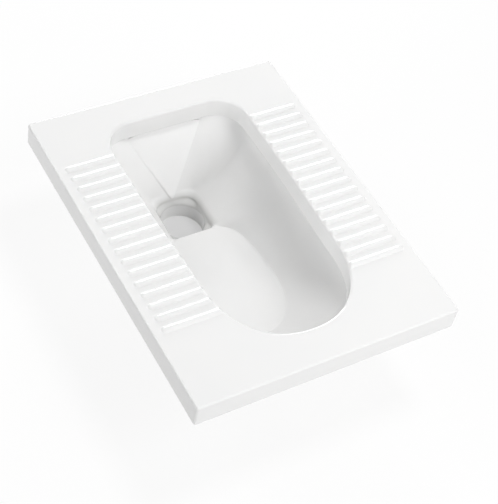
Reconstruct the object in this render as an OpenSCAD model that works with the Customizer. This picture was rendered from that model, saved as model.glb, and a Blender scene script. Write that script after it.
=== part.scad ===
// Flat squat pan of glazed vitreous china, with its inlet and outlet rubbers.
// X is across the pan, +Y is its rear, where the drain well and the flush inlet are, +Z is up.
// The origin is on the surface that the pan stands on, under the middle of the slab.

/* [Slab] */
// Width of the slab, side to side
slab_w = 440; // [420:5:480]
// Length of the slab, front to rear
slab_l = 580; // [570:5:640]
// Height of the slab's top above the surface that the pan stands on
pan_h = 200; // [196:1:230]
// Thickness of the top plate
plate_t = 12; // [11:0.5:14]
// Height of the skirt round the edge, from the slab's top down
skirt_h = 40; // [34:1:42]
// Thickness of the skirt
skirt_t = 12; // [8:0.5:12]
// Radius of the slab's four upright corners
corner_r = 4; // [2:0.5:10]
// Radius of the arris round the top of the slab
arris_r = 3; // [1.5:0.5:4]

/* [Opening] */
// Half width of the opening at its rear part
open_half_w = 120; // [112:1:124]
// Half width of the opening where its front curve starts
open_front_half_w = 115; // [106:1:118]
// Width of the slab between its rear edge and the opening
rear_border = 53; // [50:1:60]
// Width of the slab between its front edge and the opening
front_border = 58; // [50:1:70]
// Radius of the opening's two rear corners
open_corner_r = 50; // [40:1:60]
// Length of the opening's front curve
front_curve_l = 132; // [110:1:150]
// Roundness of the opening's top edge
lip_r = 4; // [2:0.5:5]
// Height of the rim band that hangs round the opening, from the slab's top down
band_h = 38; // [30:0.5:38.5]
// Thickness of the rim band
band_t = 7; // [5:0.5:8]

/* [Foot treads] */
// Number of ribs on each side
tread_count = 16; // [10:1:18]
// Distance from one rib to the next
tread_pitch = 22; // [18:0.5:23]
// Width of a rib where it leaves the slab
tread_w = 12; // [8:0.5:14]
// Height of a rib
tread_rise = 3.5; // [2:0.25:4]
// Distance from the slab's middle to the middle of the row of ribs
tread_mid = 11; // [0:1:20]
// Distance from the outer ends of the ribs to the slab's side edge
tread_edge = 14; // [12:1:30]

/* [Bowl] */
// Thickness of the bowl's wall and floor
wall_t = 10; // [8:0.5:11]
// Width of the flush channel behind the rim band
channel_w = 11; // [10.5:0.5:14]
// Depth of the flush chamber behind the rim band at the rear
chamber_w = 18; // [14:0.5:18]
// Half width of the floor
floor_half_w = 73; // [66:1:80]
// Distance from the opening's front end to the front end of the floor
floor_setback = 92; // [80:1:96]
// Place of the floor's widest line, from the slab's middle to the front
floor_widest = 20; // [10:1:30]
// Fall of the floor from its front end to the drain well
floor_fall = 31; // [20:1:34]

/* [Drain well and outlet] */
// Half width of the drain well
well_half_w = 37; // [34:0.5:40]
// Distance from the opening's rear edge to the well's rear edge
well_setback = 53; // [48:1:58]
// Length of the drain well, front to rear
well_l = 78; // [74:1:84]
// Radius of the well's two front corners, seen from above
well_corner_r = 9; // [6:1:14]
// Radius of the outlet's bore
outlet_r = 38; // [36:0.5:40]
// Drop from the rear end of the floor to the outlet
well_drop = 14; // [12:1:18]
// Length of the outlet spigot
spigot_l = 28; // [24:1:30]
// Radius of the flare at the spigot's mouth
spigot_edge_r = 2; // [1:0.5:3]

/* [Spreader plate] */
// Thickness of the spreader plate
spreader_t = 7; // [5:0.5:8]
// Depth of the spreader's top edge at its two ends, from the slab's top down
spreader_end_h = 48; // [46:0.5:52]

/* [Inlet] */
// Radius of the inlet horn's bore
horn_bore_r = 24; // [20:0.5:25]
// Thickness of the inlet horn's wall
horn_wall = 8; // [6:0.5:8]
// Clearance between the slab's skirt and the inlet horn
horn_gap = 6; // [2:0.5:8]
// Radius of the flush pipe that the cone takes
flush_pipe_r = 16; // [12:0.5:17]
// Thickness of the cone's flange
cone_flange_t = 4; // [2:0.5:5]

/* [Outlet seal] */
// Radial depth of the seal's fins
fin_depth = 5; // [3:0.5:7]
// Number of fins
fin_count = 3; // [2:1:3]
// Distance from the seal's ends to the spigot's ends
seal_inset = 5; // [2:0.5:6]

/* [Feet] */
// Thickness of each foot
foot_t = 12; // [9:0.5:14]
// Length of each foot, front to rear
foot_l = 64; // [40:1:70]
// Distance from the middle of the pan to the middle of each foot
foot_x = 44; // [36:1:46]
// Distance from the front end of the floor to the front end of the feet
foot_setback = 48; // [40:1:60]

/* [Fits] */
// Clearance of rubber parts on the china
rubber_fit = 0.2; // [0.1:0.05:0.4]
// Gap left for the glaze between luted castings
lute_gap = 0.3; // [0.2:0.05:0.5]

/* [Hidden] */

china = [0.95, 0.95, 0.94];
rubber = [0.17, 0.17, 0.18];

// Stations round half of the pan, from its front middle to its rear middle: the front curve, the
// side of the floor, the turn to the well, the side of the well, the rear corner and the rear
n_front = 14;
n_floor = 8;
n_turn = 4;
n_well = 3;
n_corner = 8;
n_rear = 3;
i_side = n_front;
i_turn = i_side + n_floor;
i_well = i_turn + n_turn;
i_corner = i_well + n_well;
i_rear = i_corner + n_corner;
n_half = i_rear + n_rear;

open_rear = slab_l / 2 - rear_border;
open_front = slab_l / 2 - front_border;
open_curve_start = open_front - front_curve_l;
tread_reach = slab_w / 2 - tread_edge;
spigot_h = pan_h - spigot_l;
floor_rear_h = spigot_h - well_drop;
floor_front_h = floor_rear_h - floor_fall;
floor_front = open_front - floor_setback;
well_rear = open_rear - well_setback;
well_front = well_rear - well_l;
foot_front = floor_front - foot_setback;

// Shape of the front curve: 1 is an ellipse, less is squarer
front_power = 0.91;
// Share of the side over which the opening widens
widening = 0.6;
// Angle of the rear corner at which the flush chamber starts
corner_end = 84;
// Widths of the flush chamber at its stations, as shares of its mouth
chamber_shares = [0.95, 0.5, 0];
// Levels of the bowl's wall, and the last level of the chamber's upright rear wall
wall_levels = 8;
chamber_level = 5;
// How the wall curves on the way down, at the sides and at the spreader
side_power = 1.5;
corner_power = 1.1;
// Depth of the chamber's floor under the horn's bore
chamber_sill = 4;

// The well's rim: how far the wall's foot stays from it, and how deep it lies at the sides and rear
well_margin = 3;
well_shelf = spreader_t + 3;
well_rim_h = floor_rear_h - 6;
well_round = 32;
// Shape of the well's rear corners: 1 is an ellipse, less is squarer
well_power = 0.6;
apex_w = 2.5;
crease_r = 3;
well_edge_r = 3;
rim_step = 1;
luting_w = 3;
// The floor's side is a squared oval, from the widest line towards the well's front edge
tongue_gap = 4;
tongue_l = well_front + floor_widest - tongue_gap;
tongue_power = 4;
// It leaves the oval at this share of its length, turns at this slant and runs out along the well
tongue_share = 0.92;
turn_slant = 0.6;
turn_l = 16;
well_mid = (well_front + well_rear) / 2;

outer_r = outlet_r + wall_t;
chamber_y = open_rear + band_t + chamber_w;
horn_y = chamber_y + wall_t;
horn_end = slab_l / 2 - cone_flange_t;
horn_r = horn_bore_r + horn_wall;
inlet_h = skirt_h + horn_gap + horn_r;
chamber_h = inlet_h + horn_bore_r + chamber_sill;
tread_ball_r = (tread_w * tread_w / 4 + tread_rise * tread_rise) / (2 * tread_rise);
// The ribs start under the opening's hole, which cuts them, and the hollow has rounded corners
tread_root_x = open_front_half_w - 30;
hollow_r = 8;
floor_slope = (floor_rear_h - floor_front_h) / (well_front + floor_front);

function mix(a, b, t) = a + (b - a) * t;
function ease(t) = let (c = min(1, max(0, t))) c * c * (3 - 2 * c);

// Depth of the floor at y, from the slab's top down
function floor_h(y) = floor_front_h + floor_slope * (y + floor_front);

// The opening's outline at station i, moved outward by d
function opening_pt(i, d) =
    i <= i_side ?
        let (a = 90 * i / n_front)
        [(open_front_half_w + d) * pow(sin(a), front_power),
         -open_curve_start - (open_front - open_curve_start + d) * pow(cos(a), front_power)]
    : i <= i_corner ?
        let (t = (i - i_side) / (i_corner - i_side))
        [d + mix(open_front_half_w, open_half_w, ease(t / widening)),
         mix(-open_curve_start, open_rear - open_corner_r, t)]
    : i <= i_rear ?
        let (a = 90 * (i - i_corner) / n_corner)
        [open_half_w - open_corner_r + (open_corner_r + d) * cos(a),
         open_rear - open_corner_r + (open_corner_r + d) * sin(a)]
    : [mix(open_half_w - open_corner_r, 0, (i - i_rear) / n_rear), open_rear + d];

// The bowl's upper edge under the slab, outside the flush channel, moved outward by d
function brim_pt(i, d) =
    i <= i_corner ? opening_pt(i, band_t + channel_w + d)
    : let (t = (i - i_corner) / n_corner,
           a = corner_end * t,
           r = open_corner_r + band_t + mix(channel_w, chamber_w, t) + d)
      [open_half_w - open_corner_r + r * cos(a), open_rear - open_corner_r + r * sin(a)];

// The squared oval of the floor's side at share s of its length, moved outward by d
function oval_pt(s, d) =
    [(floor_half_w + d) * pow(1 - pow(s, tongue_power), 1 / tongue_power),
     -floor_widest + (tongue_l + d) * s];

function bend(a, b, c, t) = mix(mix(a, b, t), mix(b, c, t), t);

// The foot of the bowl's wall: round the floor, then along the well, moved outward by d
function foot_pt(i, d) =
    let (half_w = well_half_w + well_margin + d,
         start = oval_pt(tongue_share, d),
         turn = [half_w, start[1] + turn_slant * (start[0] - half_w)],
         end = turn + [0, turn_l],
         y_round = well_rear + well_shelf - well_round)
    i <= i_side ?
        let (a = 90 * i / n_front)
        [(floor_half_w + d) * sin(a), -floor_widest - (floor_front - floor_widest + d) * cos(a)]
    : i <= i_turn ? oval_pt(tongue_share * sin(90 * (i - i_side) / n_floor), d)
    : i <= i_well ? bend(start, turn, end, (i - i_turn) / n_turn)
    : i <= i_corner ? mix(end, [half_w, y_round], (i - i_well) / n_well)
    : i <= i_rear ?
        let (a = 90 * (i - i_corner) / n_corner)
        [mix(apex_w, half_w, pow(cos(a), well_power)),
         y_round + (well_round + d) * pow(sin(a), well_power)]
    : [mix(apex_w, 0, (i - i_rear) / n_rear), y_round + well_round + d];

// Depth of the wall's foot at station i and place y: the floor, then the well's rim
function foot_h(i, y) =
    mix(floor_h(min(y, well_front)), well_rim_h, ease((i - i_turn) / (i_corner - i_turn)));

function wall_power(i) = mix(side_power, corner_power, ease((i - i_corner) / n_corner));

// The bowl's wall at station i and height share v, d outside its inner face
function wall_pt(i, v, d) =
    let (top = brim_pt(i, d),
         foot = foot_pt(i, crease_r + d),
         h = foot_h(i, foot_pt(i, d)[1]) + d - crease_r,
         f = pow(v, wall_power(i)))
    [mix(top[0], foot[0], f), mix(top[1], foot[1], f), mix(plate_t, h, v)];

// The wall beside the spreader, at depth h
function mouth_pt(h, d) =
    let (deep = wall_pt(i_rear, 1, d)[2]) wall_pt(i_rear, (h - plate_t) / (deep - plate_t), d);

// The flush chamber's rear wall and floor, d outside its inner face
function chamber_pt(i, level, d) =
    let (share = chamber_shares[i - i_rear - 1],
         low = max(0, (level - chamber_level) / (wall_levels - chamber_level)),
         y = mix(chamber_y, foot_pt(i, 0)[1] + crease_r, low) + d,
         h = level <= chamber_level ? mix(plate_t, chamber_h + d, level / chamber_level)
             : mix(chamber_h, well_rim_h, low) + d)
    [share * mouth_pt(h, d)[0], y, h];

function shell_pt(i, level, d) =
    i <= i_rear ? wall_pt(i, level / wall_levels, d) : chamber_pt(i, level, d);

// The well's rim, moved outward by d
function well_pt(i, d) =
    let (w = well_half_w + d,
         r = well_corner_r,
         a = 90 * (i - i_turn) / n_turn)
    i <= i_turn ? [(well_half_w - r) * i / i_turn, well_front - d]
    : i <= i_well ? [w - (r + d) * (1 - sin(a)), well_front + r - (r + d) * cos(a)]
    : i <= i_corner ? [w, mix(well_front + r, well_rear - well_round, (i - i_well) / n_well)]
    : i <= i_rear ?
        let (a = 90 * (i - i_corner) / n_corner)
        [mix(apex_w, w, pow(cos(a), well_power)),
         well_rear - well_round + (well_round + d) * pow(sin(a), well_power)]
    : [mix(apex_w, 0, (i - i_rear) / n_rear), well_rear + d];

// The point of a circle of radius r round the well's middle that lies nearest to station i
function outlet_pt(i, r) =
    let (p = well_pt(i, 0) - [0, well_mid]) [0, well_mid] + r * p / norm(p);

// A full ring from a list of its right half, at depths below the slab's top
function ring(half) =
    [for (p = half) [p[0], p[1], pan_h - p[2]],
     for (i = [n_half - 1 : -1 : 1]) [-half[i][0], half[i][1], pan_h - half[i][2]]];

function flat_ring(h, points) = ring([for (p = points) [p[0], p[1], h]]);

function opening_ring(h, d) = flat_ring(h, [for (i = [0 : n_half]) opening_pt(i, d)]);

// The skin between rings, closed over its last ring into its first one
module closed_skin(rings) {
    n = len(rings[0]);
    m = len(rings);
    polyhedron(
        points = [for (r = rings) each r],
        faces = [for (j = [0 : m - 1], k = [0 : n - 1])
            let (a = j * n + k,
                 b = j * n + (k + 1) % n,
                 c = ((j + 1) % m) * n + (k + 1) % n,
                 e = ((j + 1) % m) * n + k)
            each [[a, c, b], [a, e, c]]]);
}

// Triangles of a ring's cap, in strips between its two halves
function cap(n) = [
    [0, 1, n - 1],
    for (k = [1 : n / 2 - 2]) each [[k, k + 1, n - k - 1], [k, n - k - 1, n - k]],
    [n / 2 - 1, n / 2, n / 2 + 1]];

// The solid between rings, with caps on its first and last ring
module loft(rings) {
    n = len(rings[0]);
    m = len(rings);
    last = (m - 1) * n;
    polyhedron(
        points = [for (r = rings) each r],
        faces = [
            each cap(n),
            for (j = [0 : m - 2], k = [0 : n - 1])
                let (a = j * n + k, b = j * n + (k + 1) % n) each [[a, b + n, b], [a, a + n, b + n]],
            for (f = cap(n)) [last + f[2], last + f[1], last + f[0]]]);
}

// A round post of the slab's height, with the slab's arris on its top
module slab_post() {
    r = min(arris_r, corner_r);
    rotate_extrude($fn = 32)
    polygon([
        [0, 0],
        [corner_r - 1, 0],
        [corner_r, 1],
        for (a = [0 : 22.5 : 90]) [corner_r - r + r * cos(a), skirt_h - r + r * sin(a)],
        [0, skirt_h]]);
}

module slab_body() {
    hull()
    for (x = [-1, 1], y = [-1, 1])
        translate([x * (slab_w / 2 - corner_r), y * (slab_l / 2 - corner_r), pan_h - skirt_h])
        slab_post();
}

// One convex rib from the opening to its round outer end
module tread() {
    end_x = tread_reach - tread_w / 2;
    hull() {
        translate([tread_root_x, 0, 0])
        rotate([0, 90, 0])
        cylinder(r = tread_ball_r, h = 1, $fn = 20);
        translate([end_x, 0, 0])
        sphere(r = tread_ball_r, $fn = 20);
    }
}

module treads() {
    for (side = [0, 1], i = [0 : tread_count - 1])
        mirror([side, 0, 0])
        translate([0, tread_mid + (i - (tread_count - 1) / 2) * tread_pitch,
                   pan_h + tread_rise - tread_ball_r])
        tread();
}

// What the opening takes out of the slab, with its round top edge and the band's round foot
module opening_hole() {
    r = band_t / 2;
    loft([
        opening_ring(band_h + 4, band_t + 1),
        opening_ring(band_h, band_t / 2),
        opening_ring(band_h - r * 0.3, r * 0.3),
        opening_ring(band_h - r, 0),
        for (a = [0 : 22.5 : 90]) opening_ring(lip_r * (1 - sin(a)), lip_r * (1 - cos(a))),
        opening_ring(-tread_rise - 1, lip_r + tread_rise + 1)]);
}

// The rim band's outside, as it stands in the hollow under the slab
module band_block() {
    r = band_t / 2;
    loft([
        opening_ring(band_h, band_t / 2),
        opening_ring(band_h - r * 0.3, band_t - r * 0.3),
        opening_ring(band_h - r, band_t),
        opening_ring(plate_t - 1, band_t)]);
}

module slab_hollow() {
    r = hollow_r;
    difference() {
        hull()
        for (x = [-1, 1], y = [-1, 1])
            translate([x * (slab_w / 2 - skirt_t - r), y * (slab_l / 2 - skirt_t - r),
                       pan_h - skirt_h - 1])
            cylinder(r = r, h = skirt_h + 1 - plate_t, $fn = 32);
        band_block();
    }
}

// Slab, skirt, rim band and foot treads, cast in one
module deck() {
    color(china)
    difference() {
        union() {
            slab_body();
            treads();
        }
        opening_hole();
        slab_hollow();
    }
}

function inner_rings() = [
    for (j = [0 : wall_levels]) ring([for (i = [0 : n_half]) shell_pt(i, j, 0)]),
    ring([for (i = [0 : n_half])
        let (p = foot_pt(i, i <= i_turn ? -crease_r : -rim_step)) [p[0], p[1], foot_h(i, p[1])]]),
    ring([for (i = [0 : n_half])
        let (p = well_pt(i, i <= i_turn ? well_edge_r : rim_step))
        [p[0], p[1], foot_h(i, p[1]) + (i <= i_turn ? 0 : rim_step)]]),
    ring([for (i = [0 : n_half])
        let (p = well_pt(i, 0)) [p[0], p[1], foot_h(i, p[1]) + well_edge_r + rim_step]]),
    flat_ring(spigot_h, [for (i = [0 : n_half]) outlet_pt(i, outlet_r)])];

function outer_rings() = [
    flat_ring(spigot_h, [for (i = [0 : n_half]) outlet_pt(i, outer_r)]),
    ring([for (i = [0 : n_half])
        let (p = outlet_pt(i, outer_r + luting_w)) [p[0], p[1], foot_h(i, p[1]) + wall_t]]),
    ring([for (i = [0 : n_half])
        let (p = foot_pt(i, wall_t - crease_r)) [p[0], p[1], foot_h(i, p[1]) + wall_t]]),
    for (j = [wall_levels : -1 : 0]) ring([for (i = [0 : n_half]) shell_pt(i, j, wall_t)])];

// Bowl, drain well and flush chamber: a shell lofted from the square-cornered brim to the floor
module bowl() {
    color(china)
    difference() {
        closed_skin([each inner_rings(), each outer_rings()]);
        translate([0, chamber_y - 1, pan_h - inlet_h])
        rotate([-90, 0, 0])
        cylinder(r = horn_bore_r, h = wall_t + 2, $fn = 64);
    }
}

// How the spreader's top edge falls to its ends, how far it stands off the chamber's mouth at its top
// and at its foot, and how much wider its front is than its back
spreader_top_power = 1.5;
spreader_seat_top = 1.5;
spreader_seat_foot = 1;
spreader_bevel = 2;

// Depth of the spreader's top edge, u from 0 at its middle to 1 at its ends
function spreader_top_h(u) =
    mix(band_h + lute_gap, spreader_end_h, pow(abs(u), spreader_top_power));

// A point of the spreader: u across, v down, at its front (0) or back (1)
function spreader_pt(u, v, back) =
    let (h = mix(spreader_top_h(u), well_rim_h - lute_gap, v),
         p = mouth_pt(h, 0),
         seat_y = p[1] - mix(spreader_seat_top, spreader_seat_foot, h / well_rim_h))
    [u * (p[0] + (1 - back) * spreader_bevel - lute_gap),
     seat_y - (1 - back) * spreader_t, pan_h - h];

// Tapering plate across the rear of the bowl, in front of the flush chamber's mouth
module spreader_plate() {
    n_across = 14;
    n_down = 8;
    color(china)
    loft([
        for (v = [0 : n_down]) [
            for (k = [0 : n_across]) spreader_pt(1 - 2 * k / n_across, v / n_down, 0),
            for (k = [0 : n_across]) spreader_pt(2 * k / n_across - 1, v / n_down, 1)]]);
}

// Socket for the flush pipe on the chamber's rear wall
module inlet_horn() {
    color(china)
    translate([0, horn_y, pan_h - inlet_h])
    rotate([-90, 0, 0])
    difference() {
        cylinder(r = horn_r, h = horn_end - horn_y, $fn = 96);
        translate([0, 0, -1])
        cylinder(r = horn_bore_r, h = horn_end - horn_y + 2, $fn = 96);
    }
}

// Round waste outlet under the drain well
module outlet_spigot() {
    r = spigot_edge_r;
    color(china)
    translate([0, well_mid, 0])
    rotate_extrude($fn = 96)
    polygon([
        [outlet_r, 0],
        [outer_r - r, 0],
        [outer_r - r * 0.3, r * 0.3],
        [outer_r, r],
        [outer_r, pan_h - spigot_h],
        [outlet_r, pan_h - spigot_h]]);
}

// One leg under the front of the bowl, cut to the slope of the bowl's underside
module foot() {
    r = foot_t / 2;
    tall = pan_h - floor_front_h;
    slope = atan(floor_slope);
    color(china)
    difference() {
        union() {
            translate([-r, -foot_front + r, 0])
            cube([foot_t, foot_l - foot_t, tall]);
            for (y = [-foot_front + r, -foot_front + foot_l - r])
                translate([0, y, 0])
                cylinder(r = r, h = tall, $fn = 48);
        }
        translate([-foot_t, 0, pan_h - floor_h(0) - wall_t])
        rotate([-slope, 0, 0])
        translate([0, -slab_l / 2, 0])
        cube([2 * foot_t, slab_l, tall]);
    }
}

module left_foot() {
    translate([-foot_x, 0, 0])
    foot();
}

module right_foot() {
    translate([foot_x, 0, 0])
    foot();
}

// The cone's flange and its tip stay back by the inset; its nose tapers and its mouth is chamfered
cone_inset = 2;
cone_nose_w = 3;
cone_nose_l = 6;
cone_mouth = 2;
cone_edge = 1;

// Rubber cone in the inlet horn; its flange lies on the horn's end
module flush_cone() {
    outer = horn_bore_r - rubber_fit;
    flange_r = horn_r - cone_inset;
    deep = horn_end - chamber_y;
    end = deep + cone_flange_t;
    color(rubber)
    translate([0, chamber_y, pan_h - inlet_h])
    rotate([-90, 0, 0])
    rotate_extrude($fn = 96)
    polygon([
        [flush_pipe_r, cone_inset],
        [outer - cone_nose_w, cone_inset],
        [outer, cone_inset + cone_nose_l],
        [outer, deep],
        [flange_r, deep],
        [flange_r, end - cone_edge],
        [flange_r - cone_edge, end],
        [flush_pipe_r + cone_mouth, end],
        [flush_pipe_r, end - cone_mouth]]);
}

// The seal's sleeve, and its fins: where each leaves the sleeve and how its tip is swept back
sleeve_t = 2.5;
fin_start = 1;
fin_root = 3;
fin_tip = 1;
fin_sweep = 2.5;

// Finned rubber sleeve round the outlet spigot
module outlet_seal() {
    inner = outer_r + rubber_fit;
    sleeve = inner + sleeve_t;
    tall = spigot_l - 2 * seal_inset;
    fin_pitch = tall / fin_count;
    color(rubber)
    translate([0, well_mid, seal_inset])
    rotate_extrude($fn = 96)
    polygon([
        [inner, 0],
        [sleeve, 0],
        for (i = [0 : fin_count - 1])
            let (low = i * fin_pitch + fin_start)
            each [
                [sleeve, low],
                [sleeve + fin_depth, low + fin_sweep],
                [sleeve + fin_depth, low + fin_sweep + fin_tip],
                [sleeve, low + fin_root]],
        [sleeve, tall],
        [inner, tall]]);
}

deck();
bowl();
spreader_plate();
inlet_horn();
outlet_spigot();
left_foot();
right_foot();
flush_cone();
outlet_seal();
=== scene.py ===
import math

import bpy
import numpy as np
from mathutils import Matrix, Vector


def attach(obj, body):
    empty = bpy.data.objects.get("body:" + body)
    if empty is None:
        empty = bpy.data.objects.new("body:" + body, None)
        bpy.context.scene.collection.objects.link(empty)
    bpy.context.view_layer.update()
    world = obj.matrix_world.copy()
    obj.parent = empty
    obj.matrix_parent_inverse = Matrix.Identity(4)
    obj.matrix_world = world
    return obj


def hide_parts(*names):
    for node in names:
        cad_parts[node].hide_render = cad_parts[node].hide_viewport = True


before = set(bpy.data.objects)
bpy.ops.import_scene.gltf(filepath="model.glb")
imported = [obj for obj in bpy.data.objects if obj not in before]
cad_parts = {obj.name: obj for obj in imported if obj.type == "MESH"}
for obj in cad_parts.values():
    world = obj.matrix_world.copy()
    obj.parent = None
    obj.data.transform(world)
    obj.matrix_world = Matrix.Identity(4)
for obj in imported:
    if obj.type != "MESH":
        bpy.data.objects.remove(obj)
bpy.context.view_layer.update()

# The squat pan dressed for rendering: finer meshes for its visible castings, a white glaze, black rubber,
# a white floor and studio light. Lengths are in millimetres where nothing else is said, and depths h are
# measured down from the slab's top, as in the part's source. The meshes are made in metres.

MM = 0.001

# ---------------------------------------------------------------- sizes with the values of the part's source

PAN_H = 200.0
SLAB_W, SLAB_L = 440.0, 580.0
PLATE_T, SKIRT_H, SKIRT_T = 12.0, 40.0, 12.0
CORNER_R, ARRIS_R, HOLLOW_R = 4.0, 3.0, 8.0

OPEN_HALF_W, OPEN_FRONT_HALF_W = 120.0, 115.0
REAR_BORDER, FRONT_BORDER = 53.0, 58.0
OPEN_CORNER_R, FRONT_CURVE_L = 50.0, 132.0
LIP_R, BAND_H, BAND_T = 4.0, 38.0, 7.0
OPEN_REAR = SLAB_L / 2 - REAR_BORDER
OPEN_FRONT = SLAB_L / 2 - FRONT_BORDER
OPEN_CURVE_START = OPEN_FRONT - FRONT_CURVE_L

TREAD_COUNT, TREAD_PITCH, TREAD_W, TREAD_RISE = 16, 22.0, 12.0, 3.5
TREAD_MID, TREAD_EDGE = 11.0, 14.0
TREAD_END_X = SLAB_W / 2 - TREAD_EDGE - TREAD_W / 2
TREAD_R = (TREAD_W ** 2 / 4 + TREAD_RISE ** 2) / (2 * TREAD_RISE)

WALL_T, CHANNEL_W, CHAMBER_W = 10.0, 11.0, 18.0
FLOOR_HALF_W, FLOOR_SETBACK, FLOOR_WIDEST, FLOOR_FALL = 73.0, 92.0, 20.0, 31.0
WELL_HALF_W, WELL_SETBACK, WELL_L, WELL_CORNER_R = 37.0, 53.0, 78.0, 9.0
OUTLET_R, SPIGOT_L, WELL_DROP = 38.0, 28.0, 14.0
SPREADER_T, SPREADER_END_H, SEAT_TOP, SEAT_FOOT = 7.0, 48.0, 1.5, 1.0
HORN_BORE_R, HORN_WALL, HORN_GAP = 24.0, 8.0, 6.0
CHAMBER_SILL, WELL_RIM_RISE, SHELF_SPARE, TONGUE_GAP = 4.0, 6.0, 3.0, 4.0
LUTE_GAP = 0.3

SPIGOT_H = PAN_H - SPIGOT_L
FLOOR_REAR_H = SPIGOT_H - WELL_DROP
FLOOR_FRONT_H = FLOOR_REAR_H - FLOOR_FALL
FLOOR_FRONT = OPEN_FRONT - FLOOR_SETBACK
WELL_REAR = OPEN_REAR - WELL_SETBACK
WELL_FRONT = WELL_REAR - WELL_L
WELL_MID = (WELL_FRONT + WELL_REAR) / 2
FLOOR_SLOPE = (FLOOR_REAR_H - FLOOR_FRONT_H) / (WELL_FRONT + FLOOR_FRONT)
CHAMBER_Y = OPEN_REAR + BAND_T + CHAMBER_W
INLET_H = SKIRT_H + HORN_GAP + HORN_BORE_R + HORN_WALL
CHAMBER_H = INLET_H + HORN_BORE_R + CHAMBER_SILL

# An outline of the pan is given at stations, numbered from the middle of the front round the right side to
# the middle of the rear. These are the steps of its stretches and the stations where they end.
N_FRONT, N_FLOOR, N_TURN, N_WELL, N_CORNER, N_REAR = 14, 8, 4, 3, 8, 3
I_SIDE = N_FRONT
I_TURN = I_SIDE + N_FLOOR
I_WELL = I_TURN + N_TURN
I_CORNER = I_WELL + N_WELL
I_REAR = I_CORNER + N_CORNER
I_END = I_REAR + N_REAR

FRONT_POWER, WIDENING, CORNER_END = 0.91, 0.6, 84.0
SIDE_POWER, CORNER_POWER = 1.5, 1.1
CHAMBER_LEVEL, CHAMBER_SHARES = 5 / 8, [0.95, 0.5, 0]
WELL_MARGIN, WELL_RIM_H, WELL_ROUND = 3.0, FLOOR_REAR_H - WELL_RIM_RISE, 32.0
WELL_SHELF = SPREADER_T + SHELF_SPARE
APEX_W, CREASE_R, WELL_EDGE_R, WELL_POWER = 2.5, 3.0, 3.0, 0.6
TONGUE_L, TONGUE_POWER, TONGUE_SHARE = WELL_FRONT + FLOOR_WIDEST - TONGUE_GAP, 4.0, 0.92
OUTER_R = OUTLET_R + WALL_T

# ---------------------------------------------------------------- small forms that differ from the source's

# The turn from the floor's side into the well's: its slant, its length, and how evenly the stations before
# it are spread, from 0 for the source's spacing to 1
TURN_SLANT, TURN_L, EVEN_SHARE = 0.83, 13.0, 0.36

# The rear corner of the bowl's inner face. It comes forward by LUTING_OUT at the spreader, mostly near its
# end, and is drawn by the share FAIRING towards a flatter curve. That curve starts at station I_FAIR, has
# gone FAIR_SHARE of its way at the corner's start and ends CREASE_TURN away from straight back. The change
# fades in from the top over the height share FAIR_TOP, and out towards the foot by the power CREASE_FADE.
LUTING_OUT, LUTING_POWER = 6.5, 1.5
CREASE_TURN, CREASE_FADE = math.radians(52), 4
I_FAIR, FAIR_SHARE, FAIRING, FAIR_TOP = I_CORNER - 0.7, 0.1, 0.6, 0.15

# The well's mouth lies this far behind the source's at its rear, and the soft edge over it turns and ends
# this far below the rim
MOUTH_BACK, WALL_CORNER_DROP, WALL_END_DROP = 2, 5.0, 9.0

# The spreader: the curve of its top edge, how much higher that edge's ends stand than the source's, how far
# its foot goes past the well's rim, and how much wider each side of its front is than its back
SPREADER_TOP_POWER, SPREADER_TOP_RISE, SPREADER_FOOT, SPREADER_BEVEL = 2, 4.0, 3.0, 3.8


# ---------------------------------------------------------------- outlines of the pan

def mix(a, b, t):
    return a + (b - a) * t


def ease(t):
    """A soft step from 0 to 1."""
    c = np.clip(t, 0, 1)
    return c * c * (3 - 2 * c)


def pick(i, *cases):
    """The case of each station: pairs of (last station, points), the last pair for all the rest."""
    out = cases[-1][1]
    for last, points in reversed(cases[:-1]):
        out = np.where((i <= last)[:, None], points, out)
    return out


def xy(x, y):
    return np.stack(np.broadcast_arrays(x, y), -1)


def quarter(i, first, count):
    """The angle of a quarter turn that starts at one station and takes so many."""
    return np.radians(90 * np.clip((i - first) / count, 0, 1))


def power(value, exponent):
    return np.maximum(value, 0) ** exponent


def opening_pt(i, d):
    """The opening's outline at stations i, moved outward by d."""
    a = quarter(i, 0, N_FRONT)
    front = xy((OPEN_FRONT_HALF_W + d) * power(np.sin(a), FRONT_POWER),
               -OPEN_CURVE_START - (FRONT_CURVE_L + d) * power(np.cos(a), FRONT_POWER))
    t = (i - I_SIDE) / (I_CORNER - I_SIDE)
    side = xy(d + mix(OPEN_FRONT_HALF_W, OPEN_HALF_W, ease(t / WIDENING)),
              mix(-OPEN_CURVE_START, OPEN_REAR - OPEN_CORNER_R, t))
    a = quarter(i, I_CORNER, N_CORNER)
    corner = xy(OPEN_HALF_W - OPEN_CORNER_R + (OPEN_CORNER_R + d) * np.cos(a),
                OPEN_REAR - OPEN_CORNER_R + (OPEN_CORNER_R + d) * np.sin(a))
    rear = xy(mix(OPEN_HALF_W - OPEN_CORNER_R, 0, (i - I_REAR) / N_REAR), OPEN_REAR + d)
    return pick(i, (I_SIDE, front), (I_CORNER, side), (I_REAR, corner), (I_END, rear))


def brim_pt(i, d):
    """The bowl's top edge: a channel's width outside the rim band, and wider round the rear corner."""
    t = np.clip((i - I_CORNER) / N_CORNER, 0, None)
    a = np.radians(CORNER_END * t)
    r = OPEN_CORNER_R + BAND_T + mix(CHANNEL_W, CHAMBER_W, t) + d
    corner = xy(OPEN_HALF_W - OPEN_CORNER_R + r * np.cos(a), OPEN_REAR - OPEN_CORNER_R + r * np.sin(a))
    return pick(i, (I_CORNER, opening_pt(i, BAND_T + CHANNEL_W + d)), (I_END, corner))


def oval_pt(s, d):
    """The squared oval of the floor's side at share s of its length."""
    return xy((FLOOR_HALF_W + d) * power(1 - power(s, TONGUE_POWER), 1 / TONGUE_POWER),
              -FLOOR_WIDEST + (TONGUE_L + d) * s)


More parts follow.
